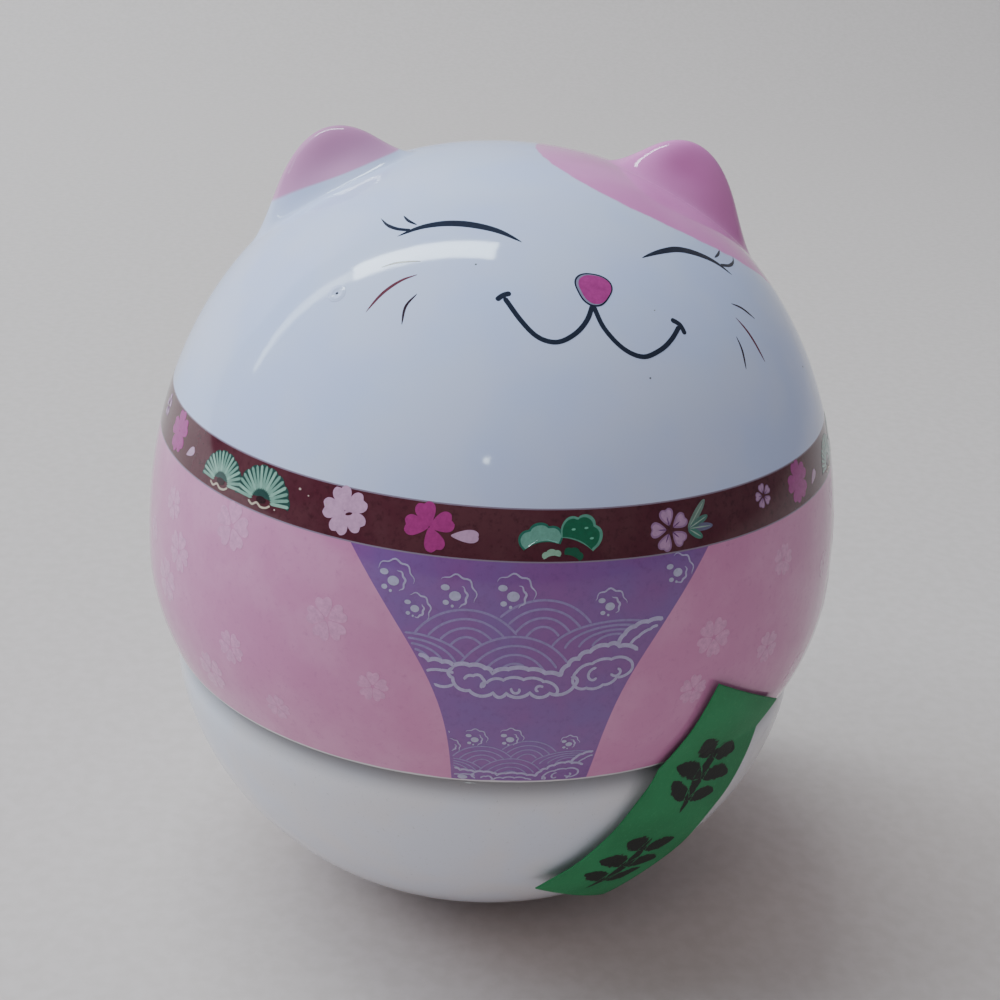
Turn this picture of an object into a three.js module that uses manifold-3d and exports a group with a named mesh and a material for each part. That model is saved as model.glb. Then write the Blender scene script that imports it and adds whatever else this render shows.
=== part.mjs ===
// Egg-shaped cat figurine in glazed porcelain: a hollow head-and-robe shell that lifts off a
// round-bottomed bowl, a cast weight in the bowl, and a paper seal stuck across the seam.
// Millimetres, +Z up, origin at the middle of the small flat foot, the cat's face towards -Y.
import * as THREE from 'three';
import { mergeVertices } from 'three/addons/utils/BufferGeometryUtils.js';
import Module from 'manifold-3d';

const wasm = await Module();
wasm.setup();

// Driving dimensions
const RADIUS = 40;              // widest radius of the body
const WIDEST_Z = 42.6;          // height of the widest level above the foot
const CROWN_RISE = 46;          // widest level up to the top of the head
const CROWN_POWER = 2.16;       // roundness of the head (2 is an ellipse)
const SKIRT_DROP = 32.2;        // half height of the curve the robe follows below the widest level
const SKIRT_POWER = 1.93;
const SEAM_Z = 32.3;            // lower edge of the shell
const SEAM_GAP = 0.3;           // clearance between the shell and the bowl
const SHELL_WALL = 2.8;

const BOWL_RADIUS = 37.3;       // bowl's widest outside radius, just under its rounded rim
const BOWL_WALL = 3;
const FOOT_RADIUS = 9;          // flat spot the figurine stands on
// The bowl's curve is cut flat at the foot, which lies at height zero
const BOWL_DEPTH = (SEAM_Z - SEAM_GAP) / Math.sqrt(1 - (FOOT_RADIUS / BOWL_RADIUS) ** 2);
const RIM_ROUND = 5;            // height of the rounding of the bowl's outer rim
const RIM_INSET = 1.9;          // how far the rounding draws the rim in
const COLLAR_OUTER = 34.3;      // upstanding ring that keeps the shell in place
const COLLAR_INNER = 32.3;
const COLLAR_RISE = 4;

const WEIGHT_TOP_Z = 11;        // flat top of the cast weight
const WEIGHT_GAP = 0.3;

const EAR_SIDE = 18.6;          // ear's centre to the side of the axis
const EAR_BACK = 2.3;           // ear's centre behind the axis
const EAR_Z = 81.4;
const EAR_HALF = [7.2, 4.5, 8.4];
const EAR_LEAN = 0.22;          // radians, outwards

const SEAL_WIDTH = 13.9;
const SEAL_LENGTH = 32;
const SEAL_ABOVE = 7.7;         // length of the strip above the seam
const SEAL_THICK = 0.3;
const SEAL_LIFT = 0.6;          // from the glaze to the middle of the paper
const SEAL_AZIMUTH = 0.594;     // radians round from the face, where its centre crosses the seam
const SEAL_SLANT = 0.454;       // radians from upright

const TURNS = 48;               // flats round a turned surface, a multiple of four

// Outside radius of the shell at height z, grown by off
function shellRadius(z, off = 0) {
  const rise = z - WIDEST_Z;
  const up = rise > 0;
  const half = (up ? CROWN_RISE : SKIRT_DROP) + off;
  const power = up ? CROWN_POWER : SKIRT_POWER;
  const part = 1 - Math.pow(Math.min(1, Math.abs(rise) / half), power);
  return (RADIUS + off) * Math.pow(part, 1 / power);
}

// Points of the shell's curve from the crown down to height low, grown by off
function shellCurve(low, off, steps) {
  const points = [new THREE.Vector2(0, WIDEST_Z + CROWN_RISE + off)];
  for (let i = 1; i < steps; i += 1) {
    const angle = (Math.PI / 2) * (1 - i / steps);
    const z = WIDEST_Z + (CROWN_RISE + off) * Math.pow(Math.sin(angle), 2 / CROWN_POWER);
    points.push(new THREE.Vector2(shellRadius(z, off), z));
  }
  const lower = 4;
  for (let i = 0; i <= lower; i += 1) {
    const z = WIDEST_Z + (low - WIDEST_Z) * (i / lower);
    points.push(new THREE.Vector2(shellRadius(z, off), z));
  }
  return points;
}

// Points of the bowl's curve from the foot circle up to the seam, grown by off
function bowlCurve(footRadius, off, steps) {
  const radius = BOWL_RADIUS + off;
  const depth = BOWL_DEPTH + off;
  const start = Math.acos(footRadius / radius);
  const points = [];
  for (let i = 0; i <= steps; i += 1) {
    const angle = start * (1 - i / steps);
    const z = SEAM_Z - SEAM_GAP - depth * Math.sin(angle);
    points.push(new THREE.Vector2(radius * Math.cos(angle), z));
  }
  return points;
}

function turned(profile) {
  const geometry = new THREE.LatheGeometry(profile, TURNS);
  geometry.rotateX(Math.PI / 2);
  return geometry;
}

function toSolid(geometry) {
  const plain = geometry.clone();
  plain.deleteAttribute('normal');
  plain.deleteAttribute('uv');
  const merged = mergeVertices(plain, 1e-4);
  const vertProperties = new Float32Array(merged.attributes.position.array);
  const triVerts = new Uint32Array(merged.index.array);
  return new wasm.Manifold(new wasm.Mesh({ numProp: 3, vertProperties, triVerts }));
}

function toGeometry(solid) {
  const mesh = solid.getMesh();
  const geometry = new THREE.BufferGeometry();
  geometry.setAttribute('position', new THREE.BufferAttribute(new Float32Array(mesh.vertProperties), 3));
  geometry.setIndex(new THREE.BufferAttribute(new Uint32Array(mesh.triVerts), 1));
  geometry.computeVertexNormals();
  return geometry;
}

// A lathe whose profile runs from the upper axis point to the lower one faces out
function upperShell() {
  const skin = shellCurve(SEAM_Z, 0, 13);
  skin.push(new THREE.Vector2(0, SEAM_Z));
  let solid = toSolid(turned(skin.reverse()));
  for (const side of [-1, 1]) {
    const ear = new THREE.SphereGeometry(1, 24, 14);
    ear.scale(...EAR_HALF);
    ear.rotateY(side * EAR_LEAN);
    ear.translate(side * EAR_SIDE, EAR_BACK, EAR_Z);
    solid = solid.add(toSolid(ear));
  }
  const hollow = shellCurve(SEAM_Z - 1, -SHELL_WALL, 10);
  hollow.push(new THREE.Vector2(0, SEAM_Z - 1));
  return toGeometry(solid.subtract(toSolid(turned(hollow.reverse()))));
}

function lowerBowl() {
  const rimZ = SEAM_Z - SEAM_GAP;
  const profile = bowlCurve(FOOT_RADIUS, 0, 12).filter((point) => point.y < rimZ - RIM_ROUND);
  profile.unshift(new THREE.Vector2(0, profile[0].y));
  for (const angle of [0, Math.PI / 6, Math.PI / 3, Math.PI / 2]) {
    const below = RIM_ROUND * (1 - Math.sin(angle));
    const full = BOWL_RADIUS * Math.sqrt(1 - (below / BOWL_DEPTH) ** 2);
    profile.push(new THREE.Vector2(full - RIM_INSET * (1 - Math.cos(angle)), rimZ - below));
  }
  profile.push(new THREE.Vector2(COLLAR_OUTER, rimZ));
  profile.push(new THREE.Vector2(COLLAR_OUTER, rimZ + COLLAR_RISE));
  profile.push(new THREE.Vector2(COLLAR_INNER, rimZ + COLLAR_RISE));
  profile.push(new THREE.Vector2(COLLAR_INNER, rimZ));
  const inner = bowlCurve(0, -BOWL_WALL, 11).reverse();
  profile.push(...inner.filter((point) => point.x < COLLAR_INNER));
  profile[profile.length - 1].x = 0;
  return turned(profile);
}

function castWeight() {
  const curve = bowlCurve(0, -BOWL_WALL - WEIGHT_GAP, 22);
  curve[0].x = 0;
  const profile = curve.filter((point) => point.y < WEIGHT_TOP_Z - 0.4);
  const last = profile[profile.length - 1];
  profile.push(new THREE.Vector2(last.x + 0.4, WEIGHT_TOP_Z));
  profile.push(new THREE.Vector2(0, WEIGHT_TOP_Z));
  return turned(profile);
}

// Wraps a flat strip round the body: x across, y along (up), z out from the glaze
function wrapSeal(across, along, out) {
  const right = across * Math.cos(SEAL_SLANT) + along * Math.sin(SEAL_SLANT);
  const down = across * Math.sin(SEAL_SLANT) - along * Math.cos(SEAL_SLANT);
  const edge = shellRadius(SEAM_Z);
  let radius = shellRadius(SEAM_Z - down);
  let z = SEAM_Z - down;
  let tilt = 0;
  if (down > 0) {
    tilt = down / edge;
    radius = edge * Math.cos(tilt);
    z = SEAM_Z - BOWL_DEPTH * Math.sin(tilt);
  }
  const azimuth = SEAL_AZIMUTH + right / radius;
  const reach = radius + out * Math.cos(tilt);
  const height = z - out * Math.sin(tilt);
  return [reach * Math.sin(azimuth), -reach * Math.cos(azimuth), height];
}

function paperSeal() {
  const strip = new THREE.BoxGeometry(SEAL_WIDTH, SEAL_LENGTH, SEAL_THICK, 6, 16, 1);
  strip.translate(0, SEAL_ABOVE - SEAL_LENGTH / 2, SEAL_LIFT);
  const position = strip.attributes.position;
  for (let i = 0; i < position.count; i += 1) {
    position.setXYZ(i, ...wrapSeal(position.getX(i), position.getY(i), position.getZ(i)));
  }
  strip.computeVertexNormals();
  return strip;
}

function piece(name, geometry, color, roughness) {
  const material = new THREE.MeshStandardMaterial({ color, roughness, metalness: 0 });
  const mesh = new THREE.Mesh(geometry, material);
  mesh.name = name;
  return mesh;
}

const figurine = new THREE.Group();
figurine.add(piece('upper_shell', upperShell(), 0xdfe3ee, 0.12));
figurine.add(piece('lower_bowl', lowerBowl(), 0xdedfe2, 0.14));
figurine.add(piece('cast_weight', castWeight(), 0xb9b3a6, 0.9));
figurine.add(piece('paper_seal', paperSeal(), 0x237d4b, 0.6));

export default figurine;
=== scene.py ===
import math

import bpy
import numpy as np
from bpy.props import FloatProperty, FloatVectorProperty, PointerProperty
from bpy.types import Operator, Panel, PropertyGroup
from mathutils import Matrix, Vector


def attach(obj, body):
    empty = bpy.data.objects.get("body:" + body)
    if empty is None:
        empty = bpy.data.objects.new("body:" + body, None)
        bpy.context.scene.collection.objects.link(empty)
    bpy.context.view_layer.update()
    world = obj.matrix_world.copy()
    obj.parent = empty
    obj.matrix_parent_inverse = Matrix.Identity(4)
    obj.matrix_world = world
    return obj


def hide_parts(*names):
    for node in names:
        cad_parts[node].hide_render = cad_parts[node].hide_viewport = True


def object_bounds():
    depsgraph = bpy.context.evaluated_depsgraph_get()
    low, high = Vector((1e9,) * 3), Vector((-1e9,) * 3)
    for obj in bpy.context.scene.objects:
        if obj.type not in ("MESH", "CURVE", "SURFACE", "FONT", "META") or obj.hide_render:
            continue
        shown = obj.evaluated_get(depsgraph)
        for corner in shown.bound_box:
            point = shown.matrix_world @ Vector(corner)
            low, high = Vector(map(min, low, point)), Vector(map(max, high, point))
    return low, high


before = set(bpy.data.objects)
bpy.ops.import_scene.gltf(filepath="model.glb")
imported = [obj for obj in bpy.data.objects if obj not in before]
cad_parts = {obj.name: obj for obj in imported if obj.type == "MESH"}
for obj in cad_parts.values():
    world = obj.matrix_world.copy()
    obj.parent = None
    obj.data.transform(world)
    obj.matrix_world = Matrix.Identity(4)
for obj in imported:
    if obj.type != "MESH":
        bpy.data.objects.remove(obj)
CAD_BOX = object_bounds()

bl_info = {
    "name": "Porcelain cat figurine",
    "version": (1, 0, 0),
    "blender": (4, 5, 0),
    "location": "View3D > Sidebar > Figurine",
    "description": "Egg-shaped glazed cat: lift-off shell, bowl, cast weight, print and paper seal",
    "category": "Add Mesh",
}

MM = 0.001
PER_MM = 1 / MM

# The turned body, in millimetres from the foot. The front of the cat is towards -Y.
RADIUS = round(CAD_BOX[1][0] / MM, 1)   # widest radius
WIDEST_Z = 42.6         # height of the widest level
CROWN_RISE = 46.0       # widest level up to the top of the head
CROWN_POWER = 2.16      # roundness of the head (2 is an ellipse)
SKIRT_DROP = 32.2       # half height of the curve the robe follows below the widest level
SKIRT_POWER = 1.93
CROWN_Z = WIDEST_Z + CROWN_RISE
SEAM_Z = 32.3           # lower edge of the shell
SHELL_WALL = 2.8
BOWL_TOP = SEAM_Z - 0.3
BOWL_RADIUS = 37.3      # the bowl's widest radius, just under its rounded rim
BOWL_WALL = 3.0
RIM_ROUND = 5.0         # height of the rounding of the bowl's outer rim
RIM_INSET = 1.9         # how far the rounding draws the rim in
FOOT_RADIUS = 9.0       # flat spot the figurine stands on
# The bowl's curve is cut flat at the foot, which lies at height zero
BOWL_DEPTH = BOWL_TOP / math.sqrt(1 - (FOOT_RADIUS / BOWL_RADIUS) ** 2)
COLLAR_OUTER = 34.3     # upstanding ring that keeps the shell in place
COLLAR_INNER = 32.3
COLLAR_RISE = 4.0
WEIGHT_TOP = 11.0       # top of the cast weight
WEIGHT_GAP = 0.3

# Each ear, for the side at +X: the middle of its root, and its size before the fillet
EAR_ROOT = (18.4, 2.3, 83.75)
EAR_LEAN = 0.24         # radians, outwards
EAR_HALF_WIDTH = 7.8
EAR_HALF_DEPTH = 4.2
EAR_HEIGHT = 6.2
EAR_FILLET = 3.0
EAR_DENT = 1.1          # depth of the hollow in its front face
EAR_DENT_HALF = (3.4, 1.4)
EAR_DENT_FORWARD = 2.5

# Height of the lowest print above the glaze, and from one layer of print to the next
FIRST_LAYER = 0.014
LAYER_STEP = 0.007

# Printed fields on the shell
BAND_LOW = 57.5
BAND_HIGH = 62.35
BARE_EDGE = 0.4         # strip at the shell's lower edge that the print doesn't reach
PANEL_MIDDLE = 0.8      # degrees round from the front
PANEL_HALF = 10.3       # half width in degrees low down
PANEL_SPREAD = 1.2      # degrees that each side opens per millimetre above the bend
PANEL_BEND_Z = 43.5
PANEL_BEND = 3.5        # millimetres over which the sides bend
MM_PER_DEGREE = 0.69    # along the skin at the panel's height
PANEL_RADIUS = 39.0     # mean radius of the skin there

# The sprayed pink patch on the head, an ellipse seen from above
PATCH_CENTRE = (18.0, 4.7)
PATCH_HALF = (18.1, 14.0)
PATCH_TURN = -55.58     # degrees
PATCH_BACK = 0.85       # distances behind its centre count this much, so that it reaches further

# The bowl is darkened as painted shadow of the shell's overhanging edge, from this far below that edge, and
# most from the second
JOINT_SHADE_FROM = 3.6
JOINT_SHADE_FULL = 0.9

# The seal: where its centre line crosses the seam, its slant from upright and its reach above
SEAL_AZIMUTH = 0.594
SEAL_SLANT = 0.454
SEAL_ABOVE = 7.7
SEAL_BOW = 0.8          # sideways, at the middle of its length
SEAL_STAND_OFF = 0.57   # how far the paper stands off, 25 mm below the seam
SEAL_RIPPLE = 0.05


# ---------------------------------------------------------------- the skin's shape

def skin_terms(z, off=0.0):
    """Height above the widest level, with the half height and the power of the curve there."""
    h = np.asarray(z, float) - WIDEST_Z
    half = np.where(h > 0, CROWN_RISE, SKIRT_DROP) + off
    return h, half, np.where(h > 0, CROWN_POWER, SKIRT_POWER)


def shell_radius(z, off=0.0):
    """Radius of the shell at height z: R (1 - |h/a|^n)^(1/n), h measured from the widest level,
    with one half height a and power n above it and another below, all grown by off."""
    h, half, power = skin_terms(z, off)
    part = np.clip(1 - np.abs(h / half) ** power, 0, None)
    return (RADIUS + off) * part ** (1 / power)


def on_shell(p):
    """Moves points along the line to the middle of the widest level until they lie on the turned
    surface |r/R|^n + |h/a|^n = 1."""
    h, half, power = skin_terms(p[..., 2])
    r = np.hypot(p[..., 0], p[..., 1])
    scale = ((r / RADIUS) ** power + np.abs(h / half) ** power) ** (-1 / power)
    out = p * scale[..., None]
    out[..., 2] = WIDEST_Z + h * scale
    return out


def unit(vectors):
    """Vectors divided by their lengths."""
    return vectors / np.linalg.norm(vectors, axis=-1, keepdims=True)


def turned_normal(p):
    """Outward normal of the turned surface: the gradient of |r/R|^n + |h/a|^n."""
    h, half, power = skin_terms(p[..., 2])
    r = np.hypot(p[..., 0], p[..., 1]) + 1e-9
    slope_r = (r / RADIUS) ** (power - 1) / RADIUS
    slope_z = np.sign(h) * np.abs(h / half) ** (power - 1) / half
    return unit(np.stack([p[..., 0] / r * slope_r, p[..., 1] / r * slope_r, slope_z], -1))


def ear_terms(p, side):
    """Places in the frame of one ear: its axis, x across it, y to the back, the height base along
    the axis, and the ear's bump H (1 - (x/a)^2 - (y/b)^2) over the plane across the axis."""
    axis = np.array([side * math.sin(EAR_LEAN), 0, math.cos(EAR_LEAN)])
    across = np.array([side * math.cos(EAR_LEAN), 0, -math.sin(EAR_LEAN)])
    from_root = p - np.array([side * EAR_ROOT[0], *EAR_ROOT[1:]])
    x, y = from_root @ across, from_root[..., 1]
    bump = EAR_HEIGHT * (1 - (x / EAR_HALF_WIDTH) ** 2 - (y / EAR_HALF_DEPTH) ** 2)
    return axis, x, y, from_root @ axis, bump


def ear_lift(p, side):
    """How far an ear raises the skin, along the ear's own axis: its bump, less a bell-shaped dent
    in its front face, joined to the head by a smooth maximum of the fillet's width."""
    axis, x, y, base, bump = ear_terms(p, side)
    dent_x, dent_y = x / EAR_DENT_HALF[0], (y + EAR_DENT_FORWARD) / EAR_DENT_HALF[1]
    bump = bump - EAR_DENT * np.exp(-dent_x ** 2 - dent_y ** 2)
    near = np.clip(EAR_FILLET - np.abs(base - bump), 0, None) / EAR_FILLET
    joined = np.maximum(base, bump) + near * near * EAR_FILLET / 4
    return (joined - base)[..., None] * axis


def ear_height(p, side):
    """Height of an ear's bump above the turned surface, with no dent or fillet. It is zero along
    the crease where the ear meets the head."""
    _, _, _, base, bump = ear_terms(p, side)
    return bump - base


def with_ears(p):
    """Points on the turned surface, raised by both ears."""
    return p + ear_lift(p, -1) + ear_lift(p, 1)


def on_skin(p, lift):
    """Points put on the turned surface, raised with the ears, then moved out along the finished
    skin's normal by lift. The normal is the cross product of two short steps on the skin."""
    base = on_shell(p)
    n = turned_normal(base)
    first = unit(np.cross(n, np.array([0.31, -0.2, 0.93])))
    second = np.cross(n, first)
    skin = with_ears(base)
    step = 0.03
    ahead = with_ears(on_shell(base + step * first)) - skin
    aside = with_ears(on_shell(base + step * second)) - skin
    normal = unit(np.cross(ahead, aside))
    normal *= np.sign((normal * n).sum(-1, keepdims=True))
    return skin + normal * np.asarray(lift, float)[..., None]


def around(r, z, azimuth):
    """Points at a radius and a height, an azimuth in radians round from the front towards +X."""
    return np.stack([r * np.sin(azimuth), -r * np.cos(azimuth), z + 0 * azimuth], -1)


def place(azimuth, z):
    """Points on the turned surface from azimuths in degrees and heights."""
    z = np.asarray(z, float)
    return around(shell_radius(z), z, np.radians(np.asarray(azimuth, float)))


def turn_flat(xy, degrees):
    """Flat points turned anticlockwise about their origin."""
    c, s = math.cos(math.radians(degrees)), math.sin(math.radians(degrees))
    return np.stack([xy[..., 0] * c - xy[..., 1] * s, xy[..., 0] * s + xy[..., 1] * c], -1)


def chart_at(azimuth, z, turn=0.0):
    """A chart of the skin round a spot. It lays flat millimetres on the tangent plane there: x
    round towards +X and y up the skin, both turned by turn degrees."""
    centre = place(azimuth, z)
    n = turned_normal(centre)
    right = unit(np.cross(np.array([0.0, 0.0, 1.0]), n))
    up = np.cross(n, right)

    def chart(xy):
        flat = turn_flat(xy, turn)
        return centre + flat[..., :1] * right + flat[..., 1:] * up

    return chart


# ---------------------------------------------------------------- meshes

def srgb(hex_colour):
    """An sRGB hex colour as linear red, green, blue and alpha."""
    c = np.array([int(hex_colour[i:i + 2], 16) for i in (1, 3, 5)]) / 255
    c = np.where(c <= 0.04045, c / 12.92, ((c + 0.055) / 1.055) ** 2.4)
    return (float(c[0]), float(c[1]), float(c[2]), 1.0)


def grid_faces(rows, columns, wrap):
    """Four-cornered faces of a rows by columns grid, joined round its columns if wrap."""
    i = np.arange(rows - 1)[:, None]
    j = np.arange(columns if wrap else columns - 1)[None, :]
    k = (j + 1) % columns
    a, b = i * columns + j, i * columns + k
    return np.stack([a, a + columns, b + columns, b], -1).reshape(-1, 4)


def disc_faces(rings, n):
    """Faces of a disc: rings of n points that grow outwards, and a fan round the point in the
    middle, which comes last."""
    j = np.arange(n)
    return grid_faces(rings, n, True), np.stack([np.full(n, rings * n), j, (j + 1) % n], -1)


def make_object(name, verts_mm, quads, tris=()):
    """A smooth-shaded mesh object at the origin, from millimetre points and arrays of faces."""
    mesh = bpy.data.meshes.new(name)
    verts = np.ascontiguousarray(verts_mm, float) * MM
    loops = np.concatenate([np.asarray(quads, int).reshape(-1), np.asarray(tris, int).reshape(-1)])
    counts = np.concatenate([np.full(len(quads), 4), np.full(len(tris), 3)])
    mesh.vertices.add(len(verts))
    mesh.vertices.foreach_set("co", verts.astype(np.float32).reshape(-1))
    mesh.loops.add(len(loops))
    mesh.loops.foreach_set("vertex_index", loops.astype(np.int32))
    mesh.polygons.add(len(counts))
    starts = np.concatenate([[0], np.cumsum(counts)[:-1]])
    mesh.polygons.foreach_set("loop_start", starts.astype(np.int32))
    mesh.polygons.foreach_set("use_smooth", np.full(len(counts), True))
    mesh.update(calc_edges=True)
    mesh.validate()
    piece = bpy.data.objects.new(name, mesh)
    bpy.context.scene.collection.objects.link(piece)
    return piece


def close_rings(name, ring, first_z, last_z):
    """Joins rings of points, rows by columns, and closes both ends with fans to the axis."""
    rows, columns = ring.shape[:2]
    verts = np.concatenate([ring.reshape(-1, 3), [[0, 0, first_z]], [[0, 0, last_z]]])
    j = np.arange(columns)
    k = (j + 1) % columns
    low = (rows - 1) * columns
    fans = np.concatenate([
        np.stack([np.full(columns, rows * columns), j, k], -1),
        np.stack([low + j, np.full(columns, rows * columns + 1), low + k], -1),
    ])
    return make_object(name, verts, grid_faces(rows, columns, True), fans)


def turned_piece(name, profile, columns):
    """Carries a profile of (radius, height) points once round the Z axis. Its two ends lie on the
    axis. A profile that runs down the outside faces out."""
    ring = around(profile[1:-1, :1], profile[1:-1, 1:], loop(columns))
    return close_rings(name, ring, profile[0, 1], profile[-1, 1])


def store(piece, name, values):
    """Keeps one number for each vertex as an attribute that a material can read."""
    layer = piece.data.attributes.new(name, "FLOAT", "POINT")
    layer.data.foreach_set("value", np.asarray(values, np.float32))


def give_thickness(piece, name, thickness):
    """Thickens a sheet inwards, from the face that is seen, by a number of millimetres."""
    wall = piece.modifiers.new(name, "SOLIDIFY")
    wall.thickness = thickness * MM
    wall.offset = -1


def rounded(corners, radii, steps):
    """A profile through corners, each turned into a circular arc of its own radius: the arc
    touches both sides at radius x tan(half the turn) from the corner."""
    corners = np.asarray(corners, float)
    out = [corners[:1]]
    for i in range(1, len(corners) - 1):
        p = corners[i]
        u, v = corners[i - 1] - p, corners[i + 1] - p
        reach_u, reach_v = np.linalg.norm(u), np.linalg.norm(v)
        u, v = u / reach_u, v / reach_v
        half = math.acos(float(np.clip(u @ v, -1, 1))) / 2
        reach = min(radii[i] / math.tan(half), 0.49 * reach_u, 0.49 * reach_v)
        t = np.linspace(0, 1, steps)[:, None]
        a, b = p + u * reach, p + v * reach
        weight = 2 * math.sin(half) * t * (1 - t)
        arc = (1 - t) ** 2 * a + weight * p + t * t * b
        out.append(arc / ((1 - t) ** 2 + weight + t * t))
    out.append(corners[-1:])
    return np.concatenate(out)


# ---------------------------------------------------------------- printed marks

class Marks:
    """Collects printed shapes that lie on the skin, each with its ink and its layer, and makes one
    mesh of them. A higher layer covers a lower one."""

    def __init__(self, drop=on_skin):
        self.verts, self.quads, self.tris, self.inks, self.edges = [], [], [], [], []
        self.count = 0
        self.drop = drop

    def _add(self, points, quads, tris, ink, layer, edge):
        self.verts.append(self.drop(points, FIRST_LAYER + LAYER_STEP * layer))
        self.quads.append(quads + self.count)
        self.tris.append(tris + self.count)
        self.inks.append(np.tile(srgb(ink), (len(points), 1)))
        self.edges.append(edge)
        self.count += len(points)

    def blob(self, chart, outline, ink, layer=0, rings=4):
        """A filled shape. The outline goes round anticlockwise, and the rings inside it are the
        outline shrunk towards its middle."""
        middle = outline.mean(0)
        n = len(outline)
        part = np.arange(1, rings + 1) / rings
        flat = (middle + (outline - middle)[None] * part[:, None, None]).reshape(-1, 2)
        edge = np.concatenate([np.repeat(part, n), [0]])
        self._add(chart(np.concatenate([flat, middle[None]])), *disc_faces(rings, n), ink, layer, edge)

    def stroke(self, points, width, ink, layer=0, samples=40, taper="round"):
        """A line of the given width along a smooth path of points on the skin. Its half width
        is constant with round ends, or swells as sin(pi t)^0.7, or fades from its start."""
        path = smooth_path(points, samples)
        if self.drop is on_skin:
            path = on_shell(path)
            n = turned_normal(path)
        else:
            n = np.tile([0.0, 0.0, 1.0], (len(path), 1))
        ahead = np.gradient(path, axis=0)
        side = np.cross(n, ahead / (np.linalg.norm(ahead, axis=1, keepdims=True) + 1e-12))
        steps = np.linalg.norm(np.diff(path, axis=0), axis=1)
        half = stroke_half(np.concatenate([[0], np.cumsum(steps)]), width, taper)
        spread = np.array([-1.0, 0.0, 1.0])
        verts = path[:, None] + side[:, None] * (half[:, None] * spread)[..., None]
        edge = np.tile(np.abs(spread), len(path))
        no_fan = np.zeros((0, 3), int)
        self._add(verts.reshape(-1, 3), grid_faces(len(path), 3, False), no_fan, ink, layer, edge)

    def finish(self, name):
        """Makes the mesh. Edges that only one face uses are marked sharp, so that the print's thin
        rim doesn't round off the shading of its face."""
        piece = make_object(name, *(np.concatenate(part) for part in (self.verts, self.quads, self.tris)))
        mesh = piece.data
        edge_of_loop = np.zeros(len(mesh.loops), np.int32)
        mesh.loops.foreach_get("edge_index", edge_of_loop)
        used = np.bincount(edge_of_loop, minlength=len(mesh.edges))
        sharp = mesh.attributes.get("sharp_edge") or mesh.attributes.new("sharp_edge", "BOOLEAN", "EDGE")
        sharp.data.foreach_set("value", used == 1)
        layer = mesh.color_attributes.new("ink", "FLOAT_COLOR", "POINT")
        layer.data.foreach_set("color", np.concatenate(self.inks).astype(np.float32).reshape(-1))
        store(piece, "edge", np.concatenate(self.edges))
        give_thickness(piece, "ink_thickness", 0.02)
        return piece


def smooth_path(points, samples):
    """A Catmull-Rom curve through the points, evenly sampled in its own parameter."""
    p = np.asarray(points, float)
    if len(p) == 2:
        return p[0] + np.linspace(0, 1, samples)[:, None] * (p[1] - p[0])
    ends = np.concatenate([[2 * p[0] - p[1]], p, [2 * p[-1] - p[-2]]])
    at = np.linspace(0, len(p) - 1 - 1e-9, samples)
    i = at.astype(int)
    t = (at - i)[:, None]
    a, b, c, d = (ends[i + k] for k in range(4))
    return 0.5 * (2 * b + (c - a) * t + (2 * a - 5 * b + 4 * c - d) * t ** 2
                  + (3 * b - a - 3 * c + d) * t ** 3)


def stroke_half(at, width, taper):
    """Half width along a stroke for distances at from its start."""
    t = at / at[-1]
    if taper == "swell":
        return width / 2 * np.clip(np.sin(np.pi * t), 0, 1) ** 0.7 + 0.01
    if taper == "start":
        return width / 2 * np.clip(t * 2.2, 0.03, 1) ** 0.8 * round_end(at[-1] - at, width)
    return width / 2 * round_end(at, width) * round_end(at[-1] - at, width)


def round_end(distance, width):
    """The round end of a line: sqrt(1 - (1 - d / half width)^2)."""
    short = np.clip(1 - distance / (width / 2), 0, 1)
    return np.sqrt(np.clip(1 - short ** 2, 0.0004, 1))


def loop(n):
    """Angles of n equal steps round a turn."""
    return np.arange(n) * 2 * np.pi / n


def oval(width, height, n=28, turn=0.0, centre=(0, 0)):
    """An ellipse of n points, turned by turn degrees and then moved to its centre."""
    a = loop(n)
    return turn_flat(np.stack([width / 2 * np.cos(a), height / 2 * np.sin(a)], -1), turn) + np.array(centre)


def petal(length, width, turn, notch=0.14, inner=0.08):
    """A cherry petal pointing along turn degrees from the flower's middle: an egg, widest
    towards its tip, with a nick of depth notch x length in the tip."""
    a = loop(36)
    away = np.minimum(a, 2 * np.pi - a)
    x = length * (inner + (1 - inner) * (0.5 + 0.5 * np.cos(a)) - notch * np.exp(-(away / 0.22) ** 2))
    y = width / 2 * np.sin(a) * (0.85 + 0.45 * np.cos(a))
    return turn_flat(np.stack([x, y], -1), turn)


def cloud(width, height, sag):
    """A flat-bottomed cloud of three lobes: the upper edge is a half oval whose radius rises and
    falls as |sin|, and the lower edge is drawn up by sag in its middle."""
    t = np.linspace(0, np.pi, 36)
    bulge = 0.82 + 0.18 * np.abs(np.sin(3 * t)) ** 0.6
    upper = np.stack([width / 2 * np.cos(t) * bulge, height * np.sin(t) ** 0.8 * bulge], -1)
    x = np.linspace(-width / 2 * 0.82, width / 2 * 0.82, 36)[1:-1]
    lower = np.stack([x, sag * (1 - (x / (width * 0.41)) ** 2) - 0.12 * height], -1)
    return np.concatenate([upper, lower])


# ---------------------------------------------------------------- materials

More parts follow.
